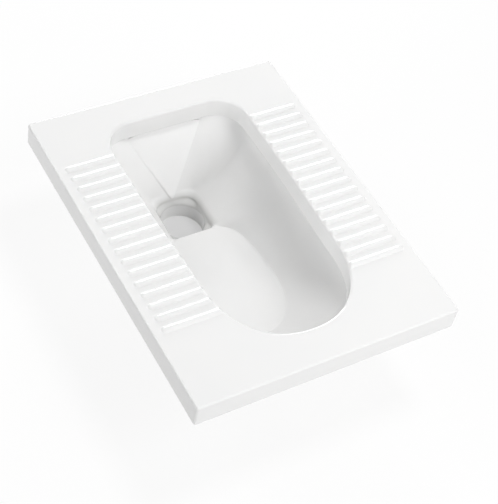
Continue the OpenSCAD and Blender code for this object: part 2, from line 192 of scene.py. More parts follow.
def bend(a, b, c, t):
    """A curve from a to c that heads for b."""
    return mix(mix(a, b, t), mix(b, c, t), t)


def foot_pt(i, d):
    """The foot of the bowl's wall: round the floor and then along the well."""
    half_w = WELL_HALF_W + WELL_MARGIN + d
    start = oval_pt(np.array([TONGUE_SHARE]), d)[0]
    turn = np.array([half_w, start[1] + TURN_SLANT * (start[0] - half_w)])
    end = turn + [0, TURN_L]
    y_round = WELL_REAR + WELL_SHELF - WELL_ROUND
    a = quarter(i, 0, N_FRONT)
    front = xy((FLOOR_HALF_W + d) * np.sin(a), -FLOOR_WIDEST - (FLOOR_FRONT - FLOOR_WIDEST + d) * np.cos(a))
    a = quarter(i, I_SIDE, N_FLOOR)
    side = oval_pt(TONGUE_SHARE * mix(np.sin(a), a / math.radians(90), EVEN_SHARE), d)
    t = ((i - I_TURN) / N_TURN)[:, None]
    turning = bend(start, turn, end, t)
    well = mix(end, np.array([half_w, y_round]), ((i - I_WELL) / N_WELL)[:, None])
    a = quarter(i, I_CORNER, N_CORNER)
    corner = xy(mix(APEX_W, half_w, power(np.cos(a), WELL_POWER)),
                y_round + (WELL_ROUND + d) * power(np.sin(a), WELL_POWER))
    rear = xy(mix(APEX_W, 0, (i - I_REAR) / N_REAR), y_round + WELL_ROUND + d)
    return pick(i, (I_SIDE, front), (I_TURN, side), (I_WELL, turning), (I_CORNER, well),
                (I_REAR, corner), (I_END, rear))


def floor_h(y):
    """Depth of the sloping floor at y."""
    return FLOOR_FRONT_H + FLOOR_SLOPE * (y + FLOOR_FRONT)


def foot_h(i, y):
    """Depth of the wall's foot: on the floor, and up to the well's rim beside the well."""
    return mix(floor_h(np.minimum(y, WELL_FRONT)), WELL_RIM_H, ease((i - I_TURN) / (I_CORNER - I_TURN)))


def wall_pt(i, v, d):
    """The bowl's wall at stations i and height share v, d outside its inner face: x, y and depth."""
    top, foot = brim_pt(i, d), foot_pt(i, CREASE_R + d)
    h = foot_h(i, foot_pt(i, d)[:, 1]) + d - CREASE_R
    f = (v ** mix(SIDE_POWER, CORNER_POWER, ease((i - I_CORNER) / N_CORNER)))[:, None]
    return np.column_stack([mix(top, foot, f), mix(PLATE_T, h, v)])


def mouth_pt(h, d):
    """The wall beside the spreader at depth h."""
    i = np.array([float(I_REAR)])
    deep = wall_pt(i, 1.0, d)[0, 2]
    return wall_pt(i, (h - PLATE_T) / (deep - PLATE_T), d)[0]


def inner_wall(i, v):
    """The bowl's inner face: its rear corner is drawn partly to a flatter curve, which ends in a crease at
    the spreader's front."""
    out = wall_pt(i, v, 0)
    start, end = wall_pt(np.array([I_FAIR, float(I_REAR)]), v, 0)
    out[:, 1] -= LUTING_OUT * np.clip((i - I_CORNER) / N_CORNER, 0, 1) ** LUTING_POWER
    t = np.interp(i, [I_FAIR, I_CORNER, I_REAR], [0, FAIR_SHARE, 1])
    end[1] -= LUTING_OUT
    turn = np.array([start[0], end[1] - (start[0] - end[0]) / math.tan(CREASE_TURN), start[2]])
    faired = bend(start, turn, end, t[:, None])
    faired[:, 2] = out[:, 2]
    share = FAIRING * ease(v / FAIR_TOP) * (1 - v ** CREASE_FADE)
    return np.where((i > I_FAIR)[:, None], mix(out, faired, share), out)


def shell_pt(i, v, d):
    """The wall, and past the last station of the rear corner the flush chamber's sides and rear."""
    ends = np.minimum(i, I_REAR)
    out = wall_pt(ends, v, d) if d else inner_wall(ends, v)
    low = max(0.0, (v - CHAMBER_LEVEL) / (1 - CHAMBER_LEVEL))
    rear_y = mix(CHAMBER_Y, foot_pt(np.array([float(I_END)]), 0)[0, 1] + CREASE_R, low) + d
    if v <= CHAMBER_LEVEL:
        h = mix(PLATE_T, CHAMBER_H + d, v / CHAMBER_LEVEL)
    else:
        h = mix(CHAMBER_H, WELL_RIM_H, low) + d
    mouth_x = mouth_pt(h, d)[0]
    share = np.interp(i, [I_REAR + 1, I_REAR + 2, I_END], CHAMBER_SHARES)
    forward = LUTING_OUT * low if d == 0 else 0
    rear = np.column_stack([share * mouth_x, np.full(len(i), rear_y - forward), np.full(len(i), h)])
    t = np.clip(i - I_REAR, 0, 1)[:, None]
    return mix(out, rear, t)


def well_pt(i, d):
    """The well's mouth, moved outward by d."""
    w, r = WELL_HALF_W + d, WELL_CORNER_R
    front = xy((WELL_HALF_W - r) * i / I_TURN, WELL_FRONT - d)
    a = quarter(i, I_TURN, N_TURN)
    turn = xy(w - (r + d) * (1 - np.sin(a)), WELL_FRONT + r - (r + d) * np.cos(a))
    side = xy(w, mix(WELL_FRONT + r, WELL_REAR - WELL_ROUND, (i - I_WELL) / N_WELL))
    a = quarter(i, I_CORNER, N_CORNER)
    corner = xy(mix(APEX_W, w, power(np.cos(a), WELL_POWER)),
                WELL_REAR - WELL_ROUND + (WELL_ROUND + d) * power(np.sin(a), WELL_POWER))
    rear = xy(mix(APEX_W, 0, (i - I_REAR) / N_REAR), WELL_REAR + d)
    return pick(i, (I_TURN, front), (I_WELL, turn), (I_CORNER, side), (I_REAR, corner), (I_END, rear))


def outlet_pt(i, r):
    """The point of a circle round the well's middle that lies nearest to each station."""
    p = well_pt(i, 0) - [0, WELL_MID]
    return [0, WELL_MID] + r * p / np.linalg.norm(p, axis=1)[:, None]


# ---------------------------------------------------------------- mesh making

SMOOTH_ANGLE = math.radians(40)


def whole(half):
    """A full ring in model space from its right half, given as x, y and depth."""
    left = half[-2:0:-1] * [-1, 1, 1]
    ring = np.concatenate([half, left])
    ring[:, 2] = PAN_H - ring[:, 2]
    return ring


def piece(name, verts, faces, material):
    """A mesh object in metres, smooth but for its sharp edges."""
    mesh = bpy.data.meshes.new(name)
    mesh.from_pydata((np.asarray(verts) * MM).tolist(), [], [list(map(int, f)) for f in faces])
    mesh.validate()
    mesh.update()
    obj = bpy.data.objects.new(name, mesh)
    bpy.context.scene.collection.objects.link(obj)
    mesh.polygons.foreach_set("use_smooth", [True] * len(mesh.polygons))
    mesh.set_sharp_from_angle(angle=SMOOTH_ANGLE)
    mesh.materials.append(material)
    return obj


def volume(verts, faces):
    """Six times the signed volume of a closed quad mesh."""
    p = verts[np.asarray(faces)]
    return sum(np.einsum("ij,ij->i", p[:, 0], np.cross(p[:, k], p[:, k + 1])).sum() for k in (1, 2))


def skin(name, rings, material, caps=False):
    """A mesh of quads between equal rings, turned outward. It closes from its last ring to its first one, or
    is capped at both ends."""
    rings = np.asarray(rings)
    m, n = rings.shape[:2]
    verts = rings.reshape(-1, 3)
    j, k = np.meshgrid(np.arange(m - 1 if caps else m), np.arange(n), indexing="ij")
    j, k = j.ravel(), k.ravel()
    up = (j + 1) % m
    faces = np.column_stack([j * n + k, j * n + (k + 1) % n, up * n + (k + 1) % n, up * n + k])
    if volume(verts, faces) < 0:
        faces = faces[:, ::-1]
    faces = faces.tolist()
    if caps:
        first, last = list(range(n)), list(range((m - 1) * n, m * n))
        as_made = faces[0][0] == (j[0] * n + k[0])
        faces.append(first[::-1] if as_made else first)
        faces.append(last if as_made else last[::-1])
    return piece(name, verts, faces, material)


def back_of(obj, first, n, last=None):
    """Gives the thinly glazed back to a skin from one ring to another, with n points in a ring."""
    if CHINA_BACK.name not in obj.data.materials:
        obj.data.materials.append(CHINA_BACK)
    for face in obj.data.polygons[first * n:None if last is None else last * n]:
        face.material_index = 1


def applied(obj):
    """The object with its modifiers made part of its mesh."""
    graph = bpy.context.evaluated_depsgraph_get()
    mesh = bpy.data.meshes.new_from_object(obj.evaluated_get(graph))
    obj.modifiers.clear()
    obj.data = mesh
    return obj


# ---------------------------------------------------------------- materials

# The part of 0 to 1 that noise mostly fills
NOISE_LOW, NOISE_HIGH = 0.3, 0.7


class Nodes:
    """A short way to write a material's node tree."""

    def __init__(self, name):
        self.material = bpy.data.materials.new(name)
        self.material.use_nodes = True
        self.tree = self.material.node_tree
        self.shader = self.tree.nodes["Principled BSDF"]

    def add(self, kind, inputs=None, **settings):
        node = self.tree.nodes.new(kind)
        for key, value in settings.items():
            setattr(node, key, value)
        for key, value in (inputs or {}).items():
            if isinstance(value, bpy.types.NodeSocket):
                self.tree.links.new(value, node.inputs[key])
            else:
                node.inputs[key].default_value = value
        return node

    def link(self, socket, name):
        self.tree.links.new(socket, self.shader.inputs[name])

    def noise(self, place, scale, detail=2.0, roughness=0.5):
        node = self.add("ShaderNodeTexNoise", {"Vector": place, "Scale": scale, "Detail": detail,
                                               "Roughness": roughness})
        return node.outputs["Fac"]

    def bump(self, height, distance, below=None):
        """The normal of a bumpy surface, on top of another one's where that is given."""
        inputs = {"Height": height, "Strength": 1.0, "Distance": distance}
        if below is not None:
            inputs["Normal"] = below
        return self.add("ShaderNodeBump", inputs).outputs["Normal"]

    def ranged(self, value, low, high, to_low, to_high):
        """A value that runs from to_low to to_high while the given one runs from low to high."""
        return self.add("ShaderNodeMapRange", {"Value": value, "From Min": low, "From Max": high,
                                               "To Min": to_low, "To Max": to_high}).outputs["Result"]

    def varied(self, place, scale, detail, low, high):
        """Noise spread from low to high."""
        return self.ranged(self.noise(place, scale, detail), NOISE_LOW, NOISE_HIGH, low, high)

    def math(self, operation, a, b):
        return self.add("ShaderNodeMath", {0: a, 1: b}, operation=operation).outputs[0]

    def blend(self, share, a, b):
        """A colour that is a at share 0 and b at share 1."""
        node = self.add("ShaderNodeMix", {0: share, 6: a, 7: b}, data_type="RGBA")
        return node.outputs[2]


GLAZE_WHITE = (0.888, 0.890, 0.888, 1), (0.905, 0.903, 0.898, 1)
# A lighter pair of whites for the spreader plate, which is painted light: it makes the plate look brighter
# than the rest of the glaze.
PLATE_PAINTED_LIGHT_WHITES = (0.945, 0.946, 0.944, 1), (0.955, 0.954, 0.950, 1)
BACK_WHITE = (0.80, 0.79, 0.765, 1), (0.85, 0.845, 0.83, 1)
# Painted shade: a grey laid on the glaze in the drain well, where the deep well lies in shade.
WELL_PAINTED_SHADE = (0.72, 0.72, 0.711, 1)
BISCUIT = (0.74, 0.70, 0.63, 1), (0.80, 0.77, 0.71, 1)
GLOSSY, DULL = (0.05, 0.10), (0.28, 0.5)
BISCUIT_ROUGHER = 0.6
GLAZE_IOR = 1.58

# The zone of the painted shade in the drain well, which greys the glaze, in metres: its lower end, its upper
# end and its front, with soft edges
SHADE_FROM_Z, SHADE_TO_Z, SHADE_FROM_Y = (0.025, 0.028), (0.040, 0.050), (0.1055, 0.110)

# Bare faces: the Z of their normal is under the first number, and they lie this near the ground or the
# skirt's underside, in metres
FACES_DOWN, NEAR_GROUND, NEAR_SKIRT = -0.9, 0.001, 0.0008


def glaze(name, coated=True, whites=GLAZE_WHITE):
    """White sanitary glaze: slightly wavy, with painted shade that greys it in the drain well, and with bare
    biscuit on the faces that the pan stands on. Uncoated, it is the thin, dull glaze of the hidden back. The
    lighter whites given for the spreader plate are painted light."""
    n = Nodes(name)
    place = n.add("ShaderNodeTexCoord").outputs["Object"]
    normal = n.add("ShaderNodeNewGeometry").outputs["Normal"]
    facing = n.add("ShaderNodeSeparateXYZ", {"Vector": normal}).outputs["Z"]
    height = n.add("ShaderNodeSeparateXYZ", {"Vector": place}).outputs["Z"]
    down = n.math("LESS_THAN", facing, FACES_DOWN)
    on_ground = n.math("LESS_THAN", height, NEAR_GROUND)
    from_skirt = n.math("ABSOLUTE", n.math("SUBTRACT", height, (PAN_H - SKIRT_H) * MM), 0)
    under_skirt = n.math("LESS_THAN", from_skirt, NEAR_SKIRT)
    bare = n.math("MULTIPLY", down, n.math("MAXIMUM", on_ground, under_skirt))
    cloud = n.varied(place, 9.0, 3.0, 0, 1)
    if coated:
        white = n.blend(cloud, *whites)
        along = n.add("ShaderNodeSeparateXYZ", {"Vector": place}).outputs["Y"]
        # Painted shade: the white turns grey inside the drain well.
        well_shade = n.math("MULTIPLY", n.ranged(height, *SHADE_TO_Z, 1, 0), n.ranged(height, *SHADE_FROM_Z, 0, 1))
        well_shade = n.math("MULTIPLY", well_shade, n.ranged(along, *SHADE_FROM_Y, 0, 1))
        white = n.blend(well_shade, white, WELL_PAINTED_SHADE)
        gloss = n.varied(place, 60.0, 4.0, *GLOSSY)
    else:
        white = n.blend(cloud, *BACK_WHITE)
        gloss = n.varied(place, 60.0, 4.0, *DULL)
    biscuit = n.blend(n.noise(place, 900.0), *BISCUIT)
    n.link(n.blend(bare, white, biscuit), "Base Color")
    n.link(n.math("ADD", gloss, n.math("MULTIPLY", bare, BISCUIT_ROUGHER)), "Roughness")

    # Long waves, the glaze's fine peel and the biscuit's grain: noise by its scale, and a height in metres
    wave = n.bump(n.noise(place, 14.0, 1.0), 0.0006)
    peel = n.bump(n.noise(place, 420.0, 2.0), 0.000012 if coated else 0.00005, wave)
    grain = n.bump(n.math("MULTIPLY", n.noise(place, 1800.0), bare), 0.0002, peel)
    n.link(grain, "Normal")
    n.shader.inputs["IOR"].default_value = GLAZE_IOR
    return n.material


RUBBER_BLACK, RUBBER_DUSTY = (0.022, 0.022, 0.024, 1), (0.052, 0.050, 0.048, 1)
RUBBER_ROUGHNESS = (0.48, 0.68)


def black_rubber():
    """Moulded black rubber with a fine grain and a trace of dust."""
    n = Nodes("seal_rubber")
    place = n.add("ShaderNodeTexCoord").outputs["Object"]
    dust = n.ranged(n.noise(place, 35.0, 5.0, 0.65), 0.48, 0.75, 0, 1)
    n.link(n.blend(dust, RUBBER_BLACK, RUBBER_DUSTY), "Base Color")
    n.link(n.varied(place, 140.0, 4.0, *RUBBER_ROUGHNESS), "Roughness")
    n.link(n.bump(n.noise(place, 1500.0, 3.0), 0.00008), "Normal")
    return n.material


CHINA = glaze("china_glaze")
# The spreader plate's glaze is painted light: its white is lighter than the rest of the glaze.
PLATE_PAINTED_LIGHT_GLAZE = glaze("china_plate_painted_light", whites=PLATE_PAINTED_LIGHT_WHITES)
CHINA_BACK = glaze("china_back", coated=False)
RUBBER = black_rubber()


# ---------------------------------------------------------------- deck

TREAD_Y = [TREAD_MID + (k - (TREAD_COUNT - 1) / 2) * TREAD_PITCH for k in range(TREAD_COUNT)]
TREAD_SHARE, TREAD_SOFTNESS, TREAD_FADE = 0.98, 0.2, 3
LIP_FADE_START, LIP_FADE_L = 0.5, 5.5

# Rows of points beside a tread's middle line
TREAD_ROWS = [0, 1.5, 3, 4.2, 5.2, 5.8, 6.3, 7, 8.5]

# Opening stations that face the slab's corners, and how far they advance round a corner
I_SLAB_FRONT, FRONT_CORNER_STEP = 6.6, 0.2
I_SLAB_REAR, REAR_CORNER_STEP = I_CORNER + 3.8, 0.4

CORE_X, CORE_Y = SLAB_W / 2 - CORNER_R, SLAB_L / 2 - CORNER_R
HOLLOW_X, HOLLOW_Y = SLAB_W / 2 - SKIRT_T - HOLLOW_R, SLAB_L / 2 - SKIRT_T - HOLLOW_R


def tread_height(x, y, edge):
    """Rise of the foot treads at x, y; edge is the distance from the rim band's face."""
    centre = np.array(TREAD_Y)[np.abs(y[..., None] - np.array(TREAD_Y)).argmin(-1)]
    u = np.hypot(y - centre, np.maximum(0, np.abs(x) - TREAD_END_X))
    base = TREAD_R - TREAD_RISE
    arc = np.sqrt(np.maximum(TREAD_R ** 2 - u ** 2, base ** 2)) - base
    slope = TREAD_W / 2 / base
    rise = arc - slope * np.maximum(0, u - TREAD_W / 2)
    soft = (rise + np.sqrt(rise ** 2 + TREAD_SOFTNESS ** 2)) / 2
    beside = ease((TREAD_PITCH / 2 - u) / TREAD_FADE)
    return TREAD_SHARE * soft * beside * ease((edge - LIP_FADE_START) / LIP_FADE_L)


def row_station(y):
    """The opening's station whose lip ends at y."""
    t = (y + OPEN_CURVE_START) / (OPEN_REAR - OPEN_CORNER_R + OPEN_CURVE_START)
    if t >= 0:
        return I_SIDE + t * (I_CORNER - I_SIDE)
    share = (-OPEN_CURVE_START - y) / (FRONT_CURVE_L + LIP_R)
    return N_FRONT * math.degrees(math.acos(share ** (1 / FRONT_POWER))) / 90


def deck_stations():
    """Stations round the right half of the slab: opening station, core point of the edge, its normal."""
    rows = sorted({round(y + side * offset, 3) for y in TREAD_Y for offset in TREAD_ROWS for side in (-1, 1)}
                  | {TREAD_Y[0] + (k - 0.5) * TREAD_PITCH for k in range(TREAD_COUNT + 1)})
    corner_x = OPEN_HALF_W - OPEN_CORNER_R
    first = row_station(rows[0])
    out = []

    # Along the front and round its corner, back along the treads, and round the rear corner to the middle
    for t in np.linspace(0, 1, 17)[:-1]:
        out.append((I_SLAB_FRONT * t, (CORE_X * t, -CORE_Y), (0, -1)))
    for t in np.linspace(0, 1, 7):
        a = t * math.pi / 2
        out.append((I_SLAB_FRONT + FRONT_CORNER_STEP * t, (CORE_X, -CORE_Y), (math.sin(a), -math.cos(a))))
    for t in np.linspace(0, 1, 10)[1:-1]:
        i = mix(I_SLAB_FRONT + FRONT_CORNER_STEP, first, t)
        out.append((i, (CORE_X, mix(-CORE_Y, rows[0], t)), (1, 0)))
    out += [(row_station(y), (CORE_X, y), (1, 0)) for y in rows]
    for t in np.linspace(0, 1, 10)[1:-1]:
        out.append((mix(I_CORNER, I_SLAB_REAR, t), (CORE_X, mix(rows[-1], CORE_Y, t)), (1, 0)))
    for t in np.linspace(0, 1, 7):
        a = t * math.pi / 2
        out.append((I_SLAB_REAR + REAR_CORNER_STEP * t, (CORE_X, CORE_Y), (math.cos(a), math.sin(a))))
    for t in np.linspace(0, 1, 10)[1:]:
        i = mix(I_SLAB_REAR + REAR_CORNER_STEP, I_REAR, t)
        out.append((i, (mix(CORE_X, corner_x, t), CORE_Y), (0, 1)))
    for t in np.linspace(0, 1, 7)[1:]:
        out.append((mix(I_REAR, I_END, t), (mix(corner_x, 0, t), CORE_Y), (0, 1)))
    station, core, normal = zip(*out)
    return np.array(station, float), np.array(core, float), np.array(normal, float)


# The fillets under the slab, and the rounding of the skirt's lower edges: its reach and how far its middle
# lies in
UNDER_FILLET, SKIRT_EDGE, SKIRT_EDGE_IN = 3.0, 1.2, 0.35

# Distances of the top's rings from the slab's edge and from the opening's lip, and the least slant at which
# a line across the top is taken to meet the lip
FROM_OUTER = [1, 3, 6, 8.5, 10, 10.6, 11.2, 12, 13, 14.2, 15.6, 17, 19, 22, 26]
FROM_INNER = [12, 8, 5.5, 3.6, 2.2, 1, 0]
LEAST_LEAN = 0.2


def deck_rings():
    """Rings of the slab, and the places in that list where its top side and its underside start."""
    station, core, normal = deck_stations()
    hollow = core * [HOLLOW_X / CORE_X, HOLLOW_Y / CORE_Y]

    def flat(points, h):
        return np.column_stack([points, np.full(len(points), float(h))])

    # The hollow's side, from the slab's underside down inside the skirt
    rings = []
    for a in np.radians([0, 22.5, 45, 67.5, 90]):
        rings.append(flat(hollow + (HOLLOW_R - UNDER_FILLET + UNDER_FILLET * math.sin(a)) * normal,
                          PLATE_T + UNDER_FILLET - UNDER_FILLET * math.cos(a)))
    for h in (20, 28, 36, SKIRT_H - SKIRT_EDGE):
        rings.append(flat(hollow + HOLLOW_R * normal, h))
    rings.append(flat(hollow + (HOLLOW_R + SKIRT_EDGE_IN) * normal, SKIRT_H - SKIRT_EDGE_IN))
    rings.append(flat(hollow + (HOLLOW_R + SKIRT_EDGE) * normal, SKIRT_H))
    top_start = len(rings)

    # The skirt's outside, and the arris over it
    rings.append(flat(core + (CORNER_R - SKIRT_EDGE) * normal, SKIRT_H))
    rings.append(flat(core + (CORNER_R - SKIRT_EDGE_IN) * normal, SKIRT_H - SKIRT_EDGE_IN))
    for h in (SKIRT_H - SKIRT_EDGE, SKIRT_H - 2.5, 30, 20, 10, 6, ARRIS_R + 1):
        rings.append(flat(core + CORNER_R * normal, h))
    for a in np.radians(np.linspace(0, 90, 8)):
        rings.append(flat(core + (CORNER_R - ARRIS_R + ARRIS_R * math.cos(a)) * normal,
                          ARRIS_R - ARRIS_R * math.sin(a)))

    # The top with its treads, and the lip
    outer = core + (CORNER_R - ARRIS_R) * normal
    inner = opening_pt(station, LIP_R)
    span = np.linalg.norm(inner - outer, axis=1)
    places = [np.full(len(span), float(s)) for s in FROM_OUTER]
    places += [mix(FROM_OUTER[-1], span - FROM_INNER[0], t) for t in (0.2, 0.4, 0.6, 0.8)]
    places += [span - s for s in FROM_INNER]
    across = (inner - outer) / span[:, None]
    offset = opening_pt(station, LIP_R + 1) - inner
    lean = -np.einsum("ij,ij->i", offset, across) / np.linalg.norm(offset, axis=1)
    for s in places:
        p = outer + across * s[:, None]
        rise = tread_height(p[:, 0], p[:, 1], LIP_R + (span - s) * np.clip(lean, LEAST_LEAN, 1))
        rings.append(np.column_stack([p, -rise]))
    for a in np.radians(np.linspace(90, 0, 9)[1:]):
        d = LIP_R * (1 - math.cos(a))
        p = opening_pt(station, d)
        rise = tread_height(p[:, 0], p[:, 1], np.full(len(p), d))
        rings.append(np.column_stack([p, LIP_R * (1 - math.sin(a)) - rise]))

    # The rim band, and the slab's underside
    r = BAND_T / 2
    for h in (5, 7, 12, 20, 28, 32, 33.6):
        rings.append(flat(opening_pt(station, 0), h))
    for a in np.radians(np.linspace(0, 180, 11)):
        rings.append(flat(opening_pt(station, r - r * math.cos(a)), BAND_H - r + r * math.sin(a)))
    bottom_start = len(rings)
    for h in (32, 26, 20):
        rings.append(flat(opening_pt(station, BAND_T), h))
    for a in np.radians([0, 30, 60, 90]):
        rings.append(flat(opening_pt(station, BAND_T + UNDER_FILLET - UNDER_FILLET * math.cos(a)),
                          PLATE_T + UNDER_FILLET - UNDER_FILLET * math.sin(a)))
    start, end = opening_pt(station, BAND_T + UNDER_FILLET), hollow + (HOLLOW_R - UNDER_FILLET) * normal
    for t in (0.06, 0.3, 0.55, 0.8, 0.96):
        rings.append(flat(mix(start, end, t), PLATE_T))
    return [whole(ring) for ring in rings], top_start, bottom_start


deck_skin, deck_top, deck_bottom = deck_rings()
deck = skin("slab_with_treads", deck_skin, CHINA)
back_of(deck, deck_bottom, len(deck_skin[0]))
back_of(deck, 0, len(deck_skin[0]), deck_top)
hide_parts("deck")


# ---------------------------------------------------------------- bowl

# The fillet at the wall's foot: where on the way to the corner its rings lie, and where on the floor it ends
FILLET_SHARES, FILLET_END = (0.3, 0.6, 0.8), 0.2

# How far below the floor the well's front edge bends, and how far below it that edge ends in the well
EDGE_SAG, EDGE_END_DROP = 0.3, WELL_EDGE_R + 1

# A height share just above the wall's end, which gives the wall's direction there
NEAR_END = 0.98

# The rounding of the brim, the collar round the spigot, and the extra length of the tool that cuts the bore
BRIM_ROUND, COLLAR_W, BORE_SPARE = 4, 3, 8


def bowl_stations():
    """Stations of the bowl's points: first and last station of each stretch and the steps between them."""
    spans = [(0, I_SIDE, 56), (I_SIDE, I_TURN, 32), (I_TURN, I_WELL, 20), (I_WELL, I_CORNER, 12),
             (I_CORNER, I_REAR, 36), (I_REAR, I_REAR + 1, 3), (I_REAR + 1, I_END, 6)]
    parts = [np.linspace(a, b, n + 1)[:-1] for a, b, n in spans]
    return np.concatenate(parts + [np.array([float(I_END)])])


def bowl_rings():
    """Rings of the bowl and the place in that list where its outside starts."""
    i = bowl_stations()
    rings = [shell_pt(i, v, 0) for v in np.linspace(0, 1, 29)]

    def rim(points, drop):
        """Points on the floor or at the well's edge, drop below it."""
        return np.column_stack([points, foot_h(i, points[:, 1]) + drop])

    # Round the floor: a fillet at the wall's foot, the floor and the well's rounded front edge
    wall_end = rings[-1]
    foot = rim(foot_pt(i, -CREASE_R), 0)
    lean = wall_end - shell_pt(i, NEAR_END, 0)
    reach = (foot_h(i, foot_pt(i, 0)[:, 1]) - wall_end[:, 2]) / np.maximum(lean[:, 2], 1e-6)
    corner = wall_end + lean * reach[:, None]
    on_floor = mix(corner, foot, FILLET_END)
    over_floor = [mix(wall_end, corner, t) for t in FILLET_SHARES]
    over_floor += [bend(over_floor[-1], corner, on_floor, t) for t in np.linspace(0, 1, 6)[1:]]
    edge_out, edge_in = rim(well_pt(i, WELL_EDGE_R), 0), rim(well_pt(i, 0), EDGE_END_DROP)
    over_floor += [mix(foot, edge_out, t) for t in (0, 0.05, 0.25, 0.5, 0.75, 0.95, 1)]
    over_floor += [bend(edge_out, rim(well_pt(i, 0), EDGE_SAG), edge_in, t) for t in np.linspace(0, 1, 7)[1:]]

    # Beside and behind the well: the wall runs over a soft edge straight into it
    mouth = well_pt(i, MOUTH_BACK * ease((i - I_CORNER) / N_CORNER))
    side_corner, side_in = rim(mouth, WALL_CORNER_DROP), rim(mouth, WALL_END_DROP)
    soft = [bend(wall_end, side_corner, side_in, t) for t in np.linspace(0, 1, len(over_floor) + 1)[1:]]
    beside = ease((i - I_TURN) / N_TURN)[:, None]
    rings += [mix(a, b, beside) for a, b in zip(over_floor, soft)]

    # The well, from its mouth to the round outlet
    rim_in = rings[-1]
    outlet = np.column_stack([outlet_pt(i, OUTLET_R), np.full(len(i), SPIGOT_H)])
    for t in np.linspace(0, 1, 8)[1:]:
        rings.append(np.column_stack([mix(rim_in[:, :2], outlet[:, :2], ease(t)[..., None]),
                                      mix(rim_in[:, 2], outlet[:, 2], t)]))
    inside = len(rings)

    # The outside, from the outlet back up to the brim
    outer_foot = rim(foot_pt(i, WALL_T - CREASE_R), WALL_T)
    collar = outlet_pt(i, OUTER_R + COLLAR_W)
    collar = np.column_stack([collar, foot_h(i, collar[:, 1]) + WALL_T])
    rings.append(np.column_stack([outlet_pt(i, OUTER_R), np.full(len(i), SPIGOT_H)]))
    rings += [collar] + [mix(collar, outer_foot, t) for t in (0.3, 0.6, 1)]
    rings += [shell_pt(i, v, WALL_T) for v in np.linspace(1, 0.05, 20)]
    for a in np.radians([0, 30, 60, 90]):
        top = shell_pt(i, 0.0, WALL_T + BRIM_ROUND - BRIM_ROUND * math.cos(a))
        top[:, 2] = PLATE_T + BRIM_ROUND - BRIM_ROUND * math.sin(a)
        rings.append(top)
    return [whole(ring) for ring in rings], inside


def cut_bore(obj):
    """Opens the flush chamber's rear wall for the inlet horn."""
    bpy.ops.mesh.primitive_cylinder_add(
        vertices=96, radius=HORN_BORE_R * MM, depth=(WALL_T + BORE_SPARE) * MM,
        location=(0, (CHAMBER_Y + WALL_T / 2) * MM, (PAN_H - INLET_H) * MM), rotation=(math.pi / 2, 0, 0))
    tool = bpy.context.object
    cut = obj.modifiers.new("bore", "BOOLEAN")
    cut.operation, cut.solver, cut.object = "DIFFERENCE", "EXACT", tool
    applied(obj)
    bpy.data.objects.remove(tool)
    obj.data.set_sharp_from_angle(angle=SMOOTH_ANGLE)
    return obj


bowl_skin, bowl_inside = bowl_rings()
bowl = skin("bowl_shell", bowl_skin, CHINA)
back_of(bowl, bowl_inside, len(bowl_skin[0]))
cut_bore(bowl)
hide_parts("bowl")


# ---------------------------------------------------------------- spreader plate

# Its rounded top edge: how high it stands, and how narrow it gets
TOP_ROUND, TOP_NARROW = 1.0, 0.35


def spreader_top_h(u):
    """Depth of the top edge at u, from -1 at the left end to 1 at the right one."""
    return mix(BAND_H + LUTE_GAP, SPREADER_END_H - SPREADER_TOP_RISE, abs(u) ** SPREADER_TOP_POWER)


def spreader_pt(u, v, back):
    """The point at u across and v down, on the front (0) or the back (1)."""
    h = mix(spreader_top_h(u), WELL_RIM_H + SPREADER_FOOT, v)
    p = mouth_pt(h, 0)
    seat = p[1] - mix(SEAT_TOP, SEAT_FOOT, h / WELL_RIM_H)
    half_w = p[0] + (1 - back) * SPREADER_BEVEL - LUTE_GAP
    return np.array([u * half_w, seat - (1 - back) * SPREADER_T, h])


def spreader_rings():
    """Rings from the rounded top edge down to the foot, each across the front and back along the rear."""
    across = np.sin(np.radians(np.linspace(-90, 90, 41)))
    down = np.concatenate([[0.004, 0.01, 0.02], np.linspace(0.04, 0.98, 30), [1.0]])
    rings = []
    for v in down:
        front = [spreader_pt(u, v, 0) for u in across]
        back = [spreader_pt(u, v, 1) for u in across[::-1]]
        ring = np.array(front + back)
        ring[:, 2] = PAN_H - ring[:, 2]
        rings.append(ring)
    top = rings[0]
    half = len(across)
    centre_line = (top[:half] + top[half:][::-1]) / 2
    centre = np.concatenate([centre_line, centre_line[::-1]])
    rounded = []
    for a in np.radians([15, 35, 55, 75]):
        ring = mix(centre, top, 1 - TOP_NARROW * (1 - math.sin(a)))
        ring[:, 2] = top[:, 2] + TOP_ROUND * math.cos(a)
        rounded.append(ring)
    return rounded + rings


# The plate wears the lighter glaze, which is painted light.
spreader = skin("spreader", spreader_rings(), PLATE_PAINTED_LIGHT_GLAZE, caps=True)
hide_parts("spreader_plate")

for made in (deck, bowl, spreader):
    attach(made, "root")


# ---------------------------------------------------------------- pieces kept as the CAD has them

for name in ("inlet_horn", "outlet_spigot", "left_foot", "right_foot"):
    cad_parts[name].data.materials[0] = CHINA
for name in ("flush_cone", "outlet_seal"):
    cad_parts[name].data.materials[0] = RUBBER


# ---------------------------------------------------------------- floor, light and camera

# The third colour is painted shade: a grey for the ground under the outlet. The second share is the smaller
# lift towards white there, which keeps that painted shade.
FLOOR_PALE, FLOOR_WHITE, OUTLET_PAINTED_SHADE = (0.55, 0.55, 0.55, 1), (0.95, 0.95, 0.95, 1), (0.35, 0.35, 0.35, 1)
WHITE_SHARE, UNDER_SHARE = 0.88, 0.48
WORLD_LIGHT, WORLD_SEEN = 0.05, 1.0
FLOOR_SIZE, FLOOR_GAP = 12, 0.0003
WELL_AXIS = (0, WELL_MID * MM, 0)

# Distances from the well's axis in metres: the painted shade on the ground under the outlet ends, and the far
# floor turns white
UNDER_END, FAR_WHITE = (0.045, 0.07), (0.8, 1.6)


